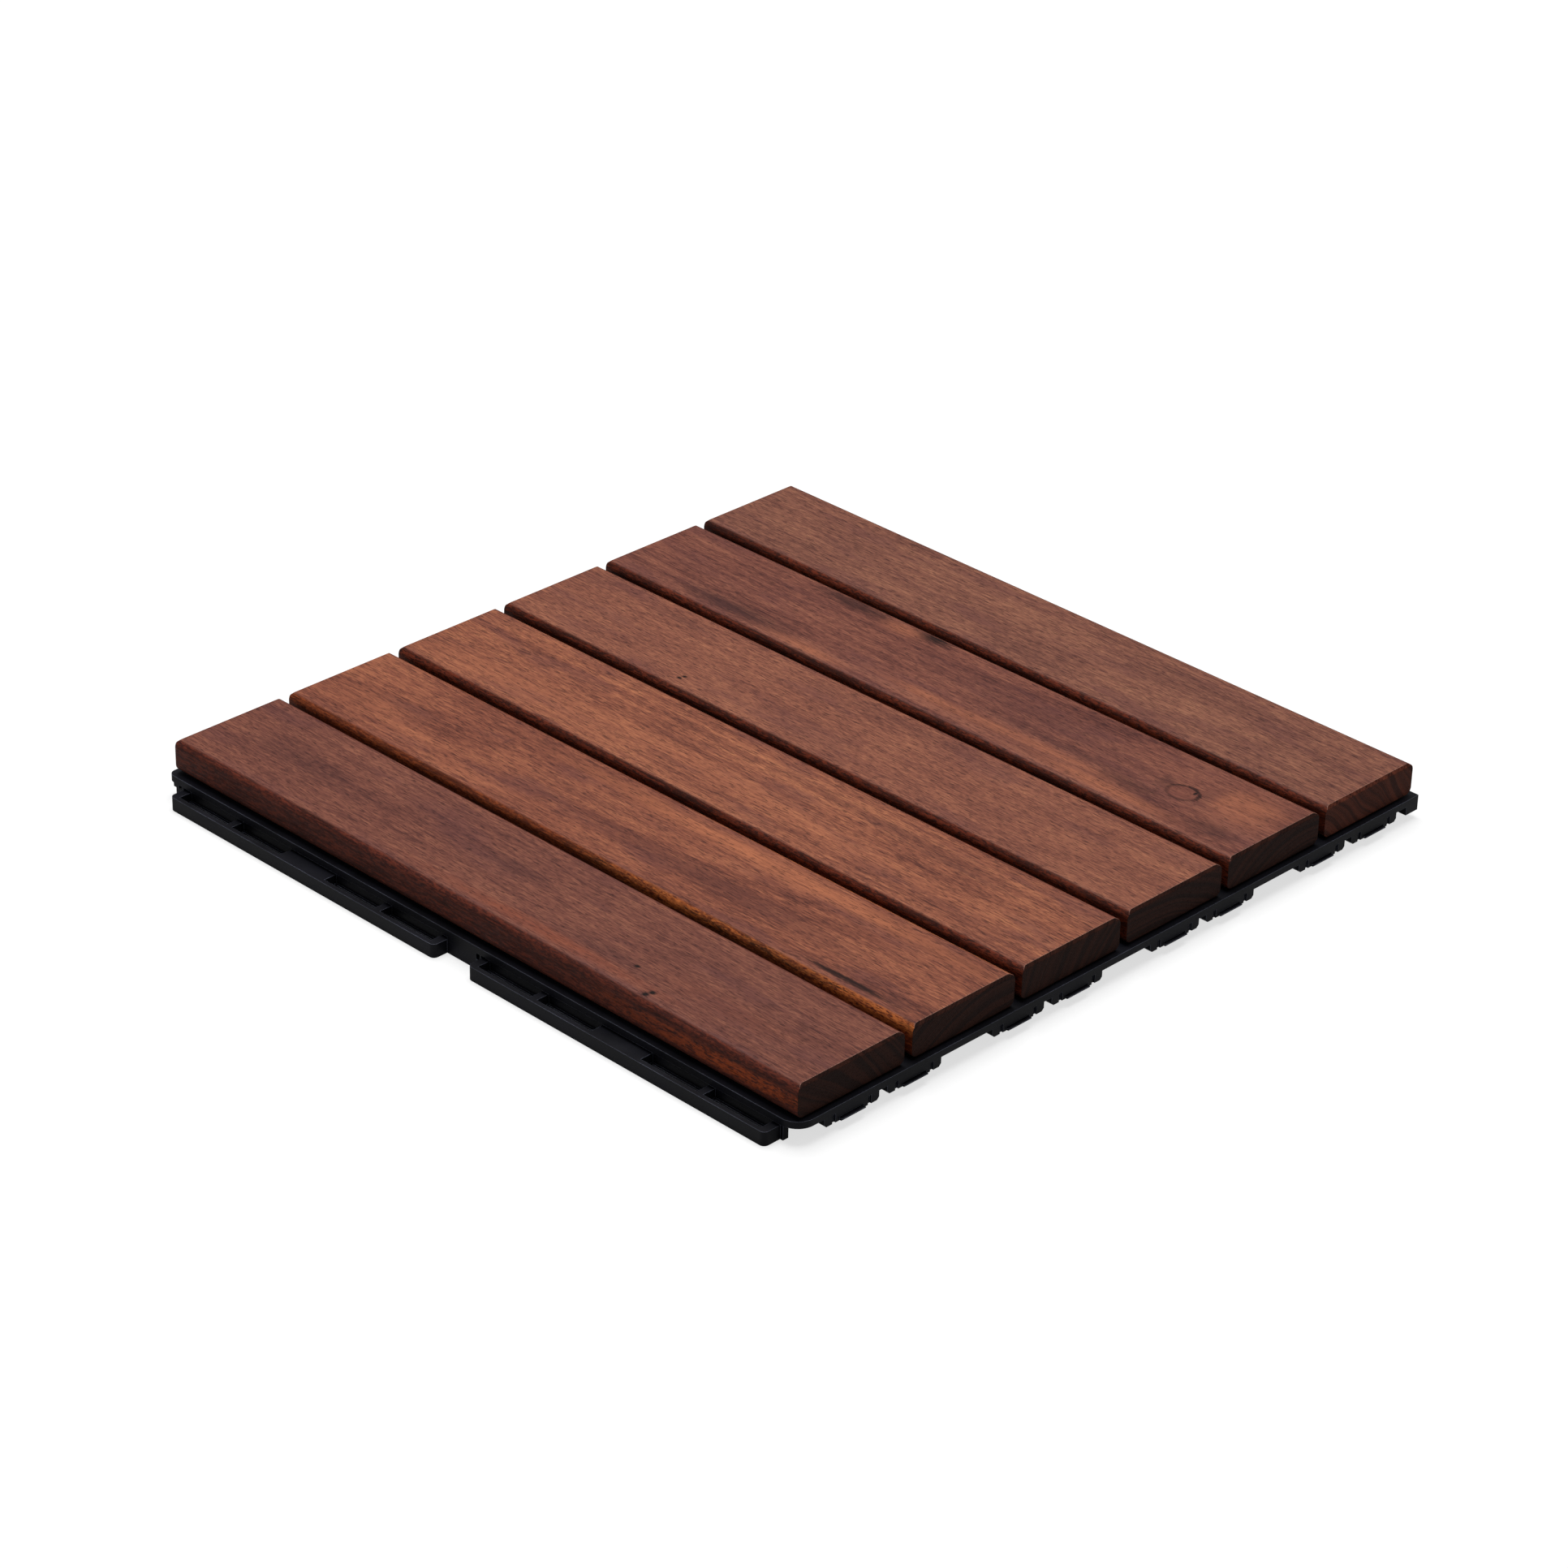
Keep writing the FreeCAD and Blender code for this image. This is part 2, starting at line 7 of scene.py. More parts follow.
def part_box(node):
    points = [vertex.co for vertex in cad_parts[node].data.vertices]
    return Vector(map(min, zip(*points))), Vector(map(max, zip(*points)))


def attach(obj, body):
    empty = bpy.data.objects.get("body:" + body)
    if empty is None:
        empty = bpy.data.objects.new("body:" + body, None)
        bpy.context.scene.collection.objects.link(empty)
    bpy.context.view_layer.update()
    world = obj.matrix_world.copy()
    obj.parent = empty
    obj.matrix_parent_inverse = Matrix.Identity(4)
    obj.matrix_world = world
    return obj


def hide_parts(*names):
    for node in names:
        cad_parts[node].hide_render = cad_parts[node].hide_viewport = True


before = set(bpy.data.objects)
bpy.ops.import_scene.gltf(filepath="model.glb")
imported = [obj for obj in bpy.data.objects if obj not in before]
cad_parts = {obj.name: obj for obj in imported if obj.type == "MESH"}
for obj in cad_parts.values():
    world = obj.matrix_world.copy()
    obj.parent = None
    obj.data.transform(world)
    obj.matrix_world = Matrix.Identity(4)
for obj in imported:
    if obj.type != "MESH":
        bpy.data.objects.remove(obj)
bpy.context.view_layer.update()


# Base. One injection moulding of black polypropylene: a rim with snap blocks on two sides and ladders of
# slots on the other two, round a ribbed lattice on feet. It lies on the ground and carries the slats.
# Its edges are barely broken, and their narrow faces carry a painted highlight: a paler, bluish grey.

SAME_POINT = 1e-6
FLAT_ANGLE = math.radians(0.6)
EDGE_BREAK = 0.00022
EDGE_ANGLE = math.radians(32)
BLACK_PLASTIC = {"dark": (13, 13, 18), "pale": (20, 20, 28), "roughness": 0.38}
# A painted highlight for the broken edges: a paler, bluish grey plastic.
EDGE_HIGHLIGHT_PLASTIC = {"dark": (64, 66, 78), "pale": (98, 101, 116), "roughness": 0.34}
DUST = (52, 52, 56)


class Value:
    """One output among a material's nodes. Arithmetic on it adds Math nodes to the same material."""

    def __init__(self, tree, socket=None):
        self.tree = tree
        self.socket = socket

    def node(self, kind, settings=None, values=None, output=0):
        """Add a node of a kind: first its settings, then the values or links of its sockets."""
        made = self.tree.nodes.new(kind)
        for name, setting in (settings or {}).items():
            if name == "stops":
                ramp = made.color_ramp.elements
                while len(ramp) < len(setting):
                    ramp.new(0.5)
                for stop, (place, colour) in zip(ramp, setting):
                    stop.position = place
                    stop.color = colour
            else:
                setattr(made, name, setting)
        for name, value in (values or {}).items():
            if isinstance(value, Value):
                self.tree.links.new(value.socket, made.inputs[name])
            else:
                made.inputs[name].default_value = value
        return Value(self.tree, made.outputs[output])

    def maths(self, operation, *operands):
        """Add a Math node that works on the operands in turn."""
        return self.node("ShaderNodeMath", {"operation": operation}, dict(enumerate(operands)))

    def __add__(self, other):
        return self.maths("ADD", self, other)

    def __sub__(self, other):
        return self.maths("SUBTRACT", self, other)

    def __rsub__(self, other):
        return self.maths("SUBTRACT", other, self)

    def __mul__(self, other):
        return self.maths("MULTIPLY", self, other)

    def __truediv__(self, other):
        return self.maths("DIVIDE", self, other)

    def __pow__(self, other):
        return self.maths("POWER", self, other)

    def __abs__(self):
        return self.maths("ABSOLUTE", self)

    __radd__ = __add__
    __rmul__ = __mul__


def new_finish(name):
    """An empty material: the material, its shader, and a value to start adding nodes from."""
    finish = bpy.data.materials.new(name)
    finish.use_nodes = True
    return finish, finish.node_tree.nodes["Principled BSDF"], Value(finish.node_tree)


def feed(shader, socket, value):
    """Let a value drive one of the shader's sockets."""
    value.tree.links.new(value.socket, shader.inputs[socket])


def paint(red, green, blue):
    """A colour as it is seen on a screen, 0 to 255, as the light that the shader counts in."""
    light = [((part / 255 + 0.055) / 1.055) ** 2.4 if part > 10 else part / 255 / 12.92
             for part in (red, green, blue)]
    return (*light, 1)


def millimetres(start, middle=(0, 0, 0)):
    """The place on the piece in millimetres, from a middle given in metres."""
    place = start.node("ShaderNodeTexCoord", output="Object")
    moved = start.node("ShaderNodeVectorMath", {"operation": "SUBTRACT"}, {0: place, 1: middle})
    return start.node("ShaderNodeVectorMath", {"operation": "SCALE"}, {0: moved, "Scale": 1000})


def lumps(place, length, seed, detail, roughness):
    """Noise from 0 to 1 whose lumps have a length in millimetres along each axis."""
    shift = (seed * 7.31, seed * 3.17, seed * 5.77)
    stretch = tuple(1 / part for part in length)
    scaled = place.node("ShaderNodeVectorMath", {"operation": "MULTIPLY_ADD"},
                        {0: place, 1: stretch, 2: shift})
    return place.node("ShaderNodeTexNoise", None,
                      {"Vector": scaled, "Scale": 1, "Detail": detail, "Roughness": roughness}, "Fac")


def ease(value, low, high, start=0, end=1):
    """A smooth step from start to end as the value goes from low to high."""
    return value.node("ShaderNodeMapRange", {"interpolation_type": "SMOOTHSTEP"},
                      {"Value": value, "From Min": low, "From Max": high, "To Min": start, "To Max": end},
                      "Result")


def mix(factor, under, over):
    """One colour laid over another, by a factor that is held between 0 and 1."""
    return factor.node("ShaderNodeMix", {"data_type": "RGBA", "clamp_factor": True},
                       {0: factor, 6: under, 7: over}, 2)


def bump(height, strength, distance):
    """Relief for the shader's normal, with the height of 1 in millimetres."""
    return height.node("ShaderNodeBump", None,
                       {"Strength": strength, "Distance": distance / 1000, "Height": height}, "Normal")


def moulded_plastic(name, dark, pale, roughness):
    """Black polypropylene: faint flow marks, fine tool texture, and dust that dulls it in patches."""
    finish, shader, start = new_finish(name)
    place = millimetres(start)
    flow = lumps(place, (18, 18, 9), seed=1, detail=5, roughness=0.55)
    texture = lumps(place, (0.35, 0.35, 0.35), seed=2, detail=2, roughness=0.5)
    scuffs = ease(lumps(place, (7, 0.5, 3), seed=3, detail=3, roughness=0.7), 0.6, 0.78)
    dust = ease(lumps(place, (30, 26, 12), seed=4, detail=6, roughness=0.7), 0.45, 0.8)
    colour = mix(ease(flow, 0.3, 0.7), paint(*dark), paint(*pale))
    colour = mix(dust * 0.12 + scuffs * 0.12, colour, paint(*DUST))
    feed(shader, "Base Color", colour)
    feed(shader, "Roughness", flow * 0.16 + dust * 0.14 + scuffs * 0.1 + roughness)
    feed(shader, "Normal", bump(texture * 0.7 + flow * 2.0, strength=0.35, distance=0.03))
    shader.inputs["Specular IOR Level"].default_value = 0.14
    return finish


def new_object(name, data):
    """Put a mesh, a lamp or a camera in the scene under a name."""
    made = bpy.data.objects.new(name, data)
    bpy.context.scene.collection.objects.link(made)
    return made


def kept_shape(piece):
    """Turn the piece's modifiers into plain mesh."""
    bpy.context.view_layer.update()
    shape = bpy.data.meshes.new_from_object(piece.evaluated_get(bpy.context.evaluated_depsgraph_get()))
    piece.modifiers.clear()
    piece.data = shape


def shade_flat(piece):
    """Light every face of the piece as a flat one."""
    piece.data.polygons.foreach_set("use_smooth", [False] * len(piece.data.polygons))


def add_piece(name, mesh, node, *finishes):
    """Put a piece in the scene in place of a node of the frame."""
    piece = new_object(name, mesh)
    mesh.materials.clear()
    for finish in finishes:
        mesh.materials.append(finish)
    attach(piece, "root")
    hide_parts(node)
    return piece


base_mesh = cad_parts["base_grid"].data.copy()
shape = bmesh.new()
shape.from_mesh(base_mesh)
bmesh.ops.remove_doubles(shape, verts=shape.verts, dist=SAME_POINT)
bmesh.ops.dissolve_limit(shape, angle_limit=FLAT_ANGLE, verts=shape.verts, edges=shape.edges)
shape.to_mesh(base_mesh)
shape.free()

base = add_piece("moulded_base", base_mesh, "base_grid",
                 moulded_plastic("black_polypropylene", **BLACK_PLASTIC),
                 moulded_plastic("painted_edge_highlight", **EDGE_HIGHLIGHT_PLASTIC))
broken = base.modifiers.new("broken_edges", "BEVEL")
broken.width = EDGE_BREAK
broken.segments = 2
broken.limit_method = "ANGLE"
broken.angle_limit = EDGE_ANGLE
# The narrow faces of the broken edges take the second finish, the painted highlight.
broken.material = 1
kept_shape(base)
shade_flat(base)


# Slats. Six bars of a dense red-brown hardwood, planed, with all four long edges rounded and the sawn ends
# eased across the top, then dipped in oil, which leaves the end grain almost chocolate. They lie on the
# lattice with a drainage gap between them.

TOP_ROUND = 0.0028
BOTTOM_ROUND = 0.0024
ROUND_LEAD = 0.0004
END_BEVEL = 0.001
END_LEAD = 0.0005
ARRIS = 0.00014
ARRIS_ANGLE = math.radians(25)
SAME_LEVEL = 1e-7


def arc(middle, radius, angles):
    """Points on an arc of the section, with a short straight lead off each end."""
    turns = [math.radians(angle) for angle in angles]
    points = [Vector((middle[0] + radius * math.cos(turn), middle[1] + radius * math.sin(turn)))
              for turn in turns]
    first = Vector((math.sin(turns[0]), -math.cos(turns[0]))) * ROUND_LEAD
    last = Vector((-math.sin(turns[-1]), math.cos(turns[-1]))) * ROUND_LEAD
    return [points[0] + first, *points, points[-1] + last]


def slat_outline(low, high):
    """The slat's section, anticlockwise from the lower left corner, seen from the +X end.

    The upper rounds have a point where the bevels of the ends start.
    """
    foot = math.degrees(math.asin((TOP_ROUND - END_BEVEL) / TOP_ROUND))
    rising = [foot * step / 4 for step in range(5)]
    rising += [foot + (90 - foot) * step / 5 for step in range(1, 6)]
    falling = [180 - angle for angle in reversed(rising)]
    return (arc((low.y + BOTTOM_ROUND, low.z + BOTTOM_ROUND), BOTTOM_ROUND, range(180, 271, 10))
            + arc((high.y - BOTTOM_ROUND, low.z + BOTTOM_ROUND), BOTTOM_ROUND, range(270, 361, 10))
            + arc((high.y - TOP_ROUND, high.z - TOP_ROUND), TOP_ROUND, rising)
            + arc((low.y + TOP_ROUND, high.z - TOP_ROUND), TOP_ROUND, falling))


def skin(shape, rings):
    """Faces between each ring of points and the next."""
    for ring, following in zip(rings, rings[1:]):
        for index in range(len(ring)):
            beside = (index + 1) % len(ring)
            shape.faces.new((ring[index], ring[beside], following[beside], following[index]))


def finished_mesh(name, shape):
    """Close the work on a shape and keep it as a mesh."""
    mesh = bpy.data.meshes.new(name)
    shape.to_mesh(mesh)
    shape.free()
    return mesh


def slat_mesh(name, low, high):
    """The section run from end to end, sloped back across the top of each end, with its arrises taken off."""
    outline = slat_outline(low, high)
    slope_foot = high.z - END_BEVEL
    shape = bmesh.new()
    rings = []
    for end, inwards in ((low.x, 1), (high.x, -1)):
        sloped = [shape.verts.new((end + inwards * max(0, z - slope_foot), y, z)) for y, z in outline]
        whole = [shape.verts.new((end + inwards * (END_BEVEL + END_LEAD), y, z)) for y, z in outline]
        shape.faces.new([point for point in sloped if point.co.z < slope_foot + SAME_LEVEL])
        shape.faces.new([point for point in sloped if point.co.z > slope_foot - SAME_LEVEL])
        rings += [sloped, whole] if inwards > 0 else [whole, sloped]
    skin(shape, rings)
    bmesh.ops.recalc_face_normals(shape, faces=shape.faces)
    sharp = [edge for edge in shape.edges if edge.calc_face_angle(0) > ARRIS_ANGLE]
    bmesh.ops.bevel(shape, geom=sharp, offset=ARRIS, segments=2, affect="EDGES", profile=0.5)
    for face in shape.faces:
        face.smooth = True
    return finished_mesh(name, shape)


RING_WIDTH = 2.7
PURPLISH = paint(100, 60, 58)
PORE = paint(50, 27, 26)
KNOT_HEART = paint(118, 68, 57)
KNOT_RIM = paint(42, 22, 20)
KNOT_RING = paint(82, 46, 39)
KNOT_HOLE = paint(24, 14, 13)
TORN_FIBRE = paint(30, 12, 9)
UNDERSIDE = paint(62, 34, 27)
END_DARK = (34, 15, 10)
END_LIGHT = (58, 29, 20)
SAW_LINE = (78, 44, 34)
END_PORE = paint(16, 9, 7)
# A painted highlight along the arris across the top of each end.
ARRIS_HIGHLIGHT = paint(158, 118, 104)


def shades(red, green, blue):
    """The dark, middle and light shade of one board, from its middle shade."""
    return (paint(red * 0.62, green * 0.57, blue * 0.64), paint(red, green, blue),
            paint(red * 1.27, green * 1.36, blue * 1.28))


def parts(vector):
    """The three numbers of a vector, each as a value of its own."""
    return [vector.node("ShaderNodeSeparateXYZ", None, {0: vector}, axis) for axis in "XYZ"]


def oval(along, across, middle, reach):
    """Distance from a place on the slat's face, counted in the half lengths of an oval about it."""
    far = ((along - middle[0]) / reach[0]) ** 2 + ((across - middle[1]) / reach[1]) ** 2
    return far ** 0.5


def oiled_hardwood(number, middle, shade, pith, figure, edges, spots, ends=1, amber=None, knot=None):
    """Solid wood: growth rings about a pith below the slat, fibres, pores and patches of colour."""
    finish, shader, start = new_finish(f"oiled_hardwood_{number}")
    place = millimetres(start, middle)
    along, across, up = parts(place)
    end_on, side_on, top_on = parts(start.node("ShaderNodeTexCoord", output="Normal"))

    # What grows through the whole board: rings that wander, and that bend round a knot, with soft clouds of
    # colour, fibres, short flecks and open pores along them.
    pith_across, pith_up, drift_across, drift_up = pith
    wander = lumps(place, (75, 24, 24), seed=number, detail=1, roughness=0.5) - 0.5
    ring_across = across + wander * 9 + along * drift_across - pith_across
    if knot:
        around_knot = oval(along, across, *knot["rim"])
        bend = ease(around_knot, 0.3, 4.2, 1.3, 0)
        ring_across = ring_across + (across - knot["rim"][0][1]) * bend
    ring_up = up + wander * 5 + along * drift_up - pith_up
    rings = start.node("ShaderNodeTexNoise", {"noise_dimensions": "1D"},
                       {"W": (ring_across ** 2 + ring_up ** 2) ** 0.5 / RING_WIDTH + number * 9.7,
                        "Scale": 1, "Detail": 3, "Roughness": 0.6}, "Fac")
    clouds = lumps(place, (58, 12, 12), seed=number + 7, detail=3, roughness=0.55)
    fibres = lumps(place, (17, 0.8, 0.8), seed=number + 3, detail=3, roughness=0.72)
    flecks = lumps(place, (4.2, 0.5, 0.5), seed=number + 5, detail=3, roughness=0.7)
    pores = ease(lumps(place, (3.6, 0.34, 0.34), seed=number + 11, detail=1, roughness=0.5), 0.57, 0.65)

    # The planed faces show them as a shade between dark and light, with purplish clouds, and with the spots
    # that this board has of its own.
    depth = ((rings - 0.5) * figure + (fibres - 0.5) * 0.85 + (clouds - 0.5) * (0.35 + figure * 0.6)
             + (flecks - 0.5) * 1.35)
    dark, body, light = shades(*shade)
    colour = start.node("ShaderNodeValToRGB", {"stops": [(0.1, dark), (0.5, body), (0.9, light)]},
                        {0: depth + 0.5}, "Color")
    purple = ease(lumps(place, (40, 10, 10), seed=number + 13, detail=2, roughness=0.5), 0.5, 0.72)
    colour = mix(purple * 0.4, colour, PURPLISH)
    streaky = ease(fibres, 0.32, 0.64, 0.55, 1.1)
    for spot_middle, spot_reach, spot_colour, strength in spots:
        ragged = oval(along, across, spot_middle, spot_reach) + (flecks - 0.5) * 1.2 + (clouds - 0.5) * 0.9
        colour = mix(ease(ragged, 0.1, 1.4, strength, 0) * streaky, colour, spot_colour)

    # A knot has a plain heart, a rim and a ring of bark that are broken and darkest on one side, and a hole.
    if knot:
        ragged = around_knot + (flecks - 0.5) * 0.36 + (clouds - 0.5) * 0.5
        bark = ease(across + along * 0.25, *knot["bark"], 0.5, 1) * ease(fibres, 0.36, 0.5, 0.6, 1)
        hole = oval(along, across, *knot["hole"]) + flecks
        colour = mix(ease(ragged, 0.85, 1.05, 0.55, 0), colour, KNOT_HEART)
        colour = mix(ease(abs(ragged - 1), 0.05, 0.2, 1, 0) * bark, colour, KNOT_RIM)
        colour = mix(ease(abs(ragged - 0.5), 0.02, 0.12, 0.4, 0) * bark, colour, KNOT_RING)
        colour = mix(ease(hole, 0.9, 1.5, 0.95, 0), colour, KNOT_HOLE)
    colour = mix(pores * 0.6, colour, PORE)

    # The moulder tears the long edges a little, and they soak up more oil: darker and redder, with near-black
    # flecks, or amber where the sapwood shows. Their dark colour on the long edges and sides also holds
    # painted
    # shade: the shade that falls in the gaps between the boards. The underside is darker too.
    torn = ease(fibres * 0.6 + flecks * 0.4 + (clouds - 0.5) * 0.5, 0.48, 0.62)
    tears = lumps(place, (2.4, 0.75, 0.75), seed=number + 17, detail=2, roughness=0.7)
    edge_and_gap_shade = mix(ease(tears * 0.5 + flecks * 0.5, 0.43, 0.57), *edges)
    if amber:
        from_here, level, amber_colour = amber
        sapwood = ease(along + (clouds - 0.5) * 140, from_here, from_here + 60)
        sapwood = sapwood * ease(abs(up - level), 1.5, 3.2, 1, 0)
        edge_and_gap_shade = mix(sapwood * ease(fibres * 0.5 + tears * 0.5, 0.4, 0.56), edge_and_gap_shade, amber_colour)
    edge_and_gap_shade = mix(torn * 0.9 * ease(tears, 0.36, 0.54, 0.2, 1), edge_and_gap_shade, TORN_FIBRE)
    # Long edges and sides take the edge colour, which includes painted shade from the gaps between boards.
    colour = mix(ease(abs(side_on), 0.2, 0.6), colour, edge_and_gap_shade)
    colour = mix(ease(top_on, 0.1, -0.5, 0, 0.6), colour, UNDERSIDE)

    # The saw leaves slanting lines on the ends, which drink in the oil. The arris above them has a painted
    # highlight.
    slant = place.node("ShaderNodeCombineXYZ", None, {0: across * 0.6 - up * 0.9})
    saw_teeth = {"wave_type": "BANDS", "bands_direction": "X", "wave_profile": "SAW"}
    cut = start.node("ShaderNodeTexWave", saw_teeth,
                     {"Vector": slant, "Scale": 0.3, "Distortion": 1.5, "Detail": 1, "Detail Scale": 0.6},
                     "Fac")
    end_dark, end_light, saw_line = [paint(*(part * ends for part in colour_of_end))
                                     for colour_of_end in (END_DARK, END_LIGHT, SAW_LINE)]
    end = ease(abs(end_on), 0.45, 0.68)
    end_colour = mix(ease(rings, 0.35, 0.65), end_dark, end_light)
    end_colour = mix(ease(cut, 0.6, 1.0) * 0.25, end_colour, saw_line)
    end_colour = mix(pores * 0.5, end_colour, END_PORE)
    colour = mix(end, colour, end_colour)
    # Painted highlight on the arris: on faces that turn upwards, broken in flecks.
    arris = ease(abs(end_on), 0.12, 0.3) * (1 - end) * ease(top_on, 0.6, 0.8) * ease(flecks, 0.34, 0.5)
    colour = mix(arris * 0.75, colour, ARRIS_HIGHLIGHT)

    feed(shader, "Base Color", colour)
    feed(shader, "Roughness", fibres * 0.16 + pores * 0.15 + end * 0.12 + 0.42)
    feed(shader, "Normal", bump(fibres * 0.7 + flecks * 0.6 - pores * 1.2, strength=0.6, distance=0.06))
    shader.inputs["Specular IOR Level"].default_value = 0.12
    return finish


# The six boards, from the ladder side (-Y) on. Places are in millimetres from the middle of a board.
#   shade   middle shade of the wood, as it is seen on a screen
#   pith    the heart of the tree: how far across and up, and how fast both drift along the board
#   figure  how strongly the growth rings show
#   edges   dark and light colour of the long edges and sides, with painted shade from the gaps between boards
#   amber   sapwood in them: from where along the board, round which height, and its colour
#   ends    how much lighter than the darkest the sawn ends are
#   spots   patches of colour: middle, half lengths along and across, colour, strength
#   knot    middle and half lengths of its rim and of its hole, and between which slanting lines, counted
#           across the board and a quarter along it, its bark turns dark
PINHOLE = paint(20, 11, 10)
PLUM = paint(78, 46, 44)
STREAK = paint(60, 34, 32)
LIGHT = paint(176, 108, 78)
# Edges of the boards that lie between others: their own dark oiled colour with painted shade from the gaps.
DARK_EDGE_AND_GAP_SHADE = (paint(54, 21, 13), paint(112, 47, 27))
SLATS = {
    1: {
        "shade": (118, 70, 58), "pith": (-34, -46, 0.05, 0.03), "figure": 0.3,
        "edges": (paint(66, 31, 26), paint(112, 52, 37)), "amber": (40, -0.5, paint(176, 80, 40)),
        "spots": [
            ((-110, -1), (34, 6), PLUM, 0.42),
            ((-5, 3), (16, 5), PLUM, 0.5),
            ((27, -17.5), (60, 3), paint(146, 78, 54), 0.6),
            ((52, -11), (24, 4), PLUM, 0.4),
            ((100, -8), (30, 5), paint(132, 74, 56), 0.3),
            ((79.5, -20.4), (1.3, 1), PINHOLE, 1.6),
            ((80.4, -18.2), (1.5, 1), PINHOLE, 1.6),
            ((65.6, -10.7), (1.2, 0.9), PINHOLE, 1.2),
        ],
    },
    2: {
        "shade": (133, 77, 59), "pith": (18, -60, -0.02, 0.03), "figure": 0.7,
        "edges": (paint(84, 36, 20), paint(140, 68, 34)), "amber": (-10, 4.4, paint(190, 106, 52)),
        "spots": [
            ((52, 15), (95, 4.5), paint(184, 112, 78), 0.75),
            ((40, -6.5), (95, 5.5), paint(96, 55, 48), 0.62),
            ((-122, -4), (20, 8), LIGHT, 0.3),
            ((-97, -12), (14, 4), LIGHT, 0.45),
            ((-60, -16), (22, 3), LIGHT, 0.4),
            ((-72, 9), (0.8, 3.4), PLUM, 0.5),
            ((-30, 2), (30, 3), PLUM, 0.3),
            ((116, -18.6), (20, 1.3), paint(40, 20, 16), 1.3),
            ((137, -17), (6, 3), PLUM, 0.5),
        ],
    },
    3: {
        "shade": (143, 85, 64), "pith": (60, -34, 0.02, 0.02), "figure": 0.6, "edges": DARK_EDGE_AND_GAP_SHADE,
        "spots": [
            ((52, 11.5), (85, 3.4), paint(100, 58, 48), 0.55),
            ((90, 7.6), (32, 1.5), PLUM, 0.55),
            ((-97, -12), (50, 6), LIGHT, 0.4),
            ((-10, -4.7), (60, 4), LIGHT, 0.35),
            ((60, -9), (70, 3), LIGHT, 0.3),
        ],
    },
    4: {
        "shade": (135, 82, 65), "pith": (-22, -64, -0.03, 0.04), "figure": 0.3, "edges": DARK_EDGE_AND_GAP_SHADE,
        "spots": [
            ((-95, 14.7), (14, 2.4), PLUM, 0.4),
            ((10, 16), (60, 4), PLUM, 0.25),
            ((-64.8, -15.1), (1.2, 0.9), PINHOLE, 1.4),
            ((-65.5, -17.0), (1.2, 0.9), PINHOLE, 1.4),
        ],
    },
    5: {
        "shade": (120, 71, 59), "pith": (30, -38, 0.09, 0.05), "figure": 0.65, "edges": DARK_EDGE_AND_GAP_SHADE,
        "knot": {"rim": ((110, -0.3), (6.4, 4.9)), "hole": ((113.4, 1.9), (0.9, 1.5)), "bark": (24.5, 31)},
        "spots": [
            ((-24, 20), (10, 3.2), paint(34, 18, 16), 1),
            ((-62, 19.2), (18, 3.6), paint(52, 29, 27), 0.85),
            ((-38, 17), (9, 4), LIGHT, 0.5),
            ((-92, -16), (28, 5), paint(56, 34, 34), 0.7),
            ((-50, -19), (22, 3), LIGHT, 0.6),
            ((12, -13.5), (42, 3), LIGHT, 0.6),
            ((58, -11.5), (30, 2.4), LIGHT, 0.6),
            ((86, -17), (34, 3.4), LIGHT, 0.65),
            ((60, -6.0), (40, 2.4), PLUM, 0.6),
            ((94, -9), (15, 3.4), STREAK, 0.6),
            ((133, -13), (11, 5), STREAK, 0.65),
            ((132, 5), (14, 14), LIGHT, 0.5),
            ((124, 7), (4, 8), LIGHT, 0.3),
            ((136, 11), (12, 3), LIGHT, 0.3),
            ((118, 3), (4, 9), PLUM, 0.3),
            ((101, 1), (4.5, 5), paint(60, 36, 35), 0.6),
            ((40, 5), (62, 8), PLUM, 0.3),
        ],
    },
    6: {
        "shade": (128, 81, 66), "pith": (-50, -52, 0.01, 0.02), "figure": 0.25, "edges": DARK_EDGE_AND_GAP_SHADE,
        "ends": 1.7,
        "spots": [
            ((2, -15), (22, 4), paint(100, 62, 54), 0.4),
            ((60, 8), (40, 6), PLUM, 0.15),
        ],
    },
}

for number, wood in SLATS.items():
    node = f"slat_{number}"
    name = f"hardwood_{node}"
    low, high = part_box(node)
    finish = oiled_hardwood(number, tuple((low + high) / 2), **wood)
    slat = add_piece(name, slat_mesh(name, low, high), node, finish)
    slat.modifiers.new("even_shading", "WEIGHTED_NORMAL").keep_sharp = True
    kept_shape(slat)


# Screws. Zinc-plated pan-head wood screws with a cross recess, two for each slat. They are driven up through
# the webs of the lattice into blind holes in the slat.

HEAD_RADIUS = 0.0035
HEAD_HEIGHT = 0.0022
SHANK_RADIUS = 0.00175
POINT_RADIUS = 0.0003
POINT_LENGTH = 0.0016
THREAD_PITCH = 0.0014
THREAD_DEPTH = 0.00045
SCREW_SIDES = 28
SHANK_ROWS = 56
PLAIN_ROWS = 4
RECESS_REACH = 0.0022
RECESS_DEPTH = 0.0015
RECESS_CORE = 0.0006
RECESS_HALF_WIDTH = 0.00038
RECESS_TAPER = 0.7


def ring_of_points(shape, radius, level):
    """A level ring of points, its radius a number or a function of the angle and the level."""
    ring = []
    for index in range(SCREW_SIDES):
        angle = 2 * math.pi * index / SCREW_SIDES
        out = radius(angle, level) if callable(radius) else radius
        ring.append(shape.verts.new((out * math.cos(angle), out * math.sin(angle), level)))
    return ring


def thread(angle, level):
    """The shank's radius where a single thread winds up it."""
    turn = (level / THREAD_PITCH - angle / (2 * math.pi)) % 1
    return SHANK_RADIUS - THREAD_DEPTH * min(1, abs(turn - 0.5) * 3.2)


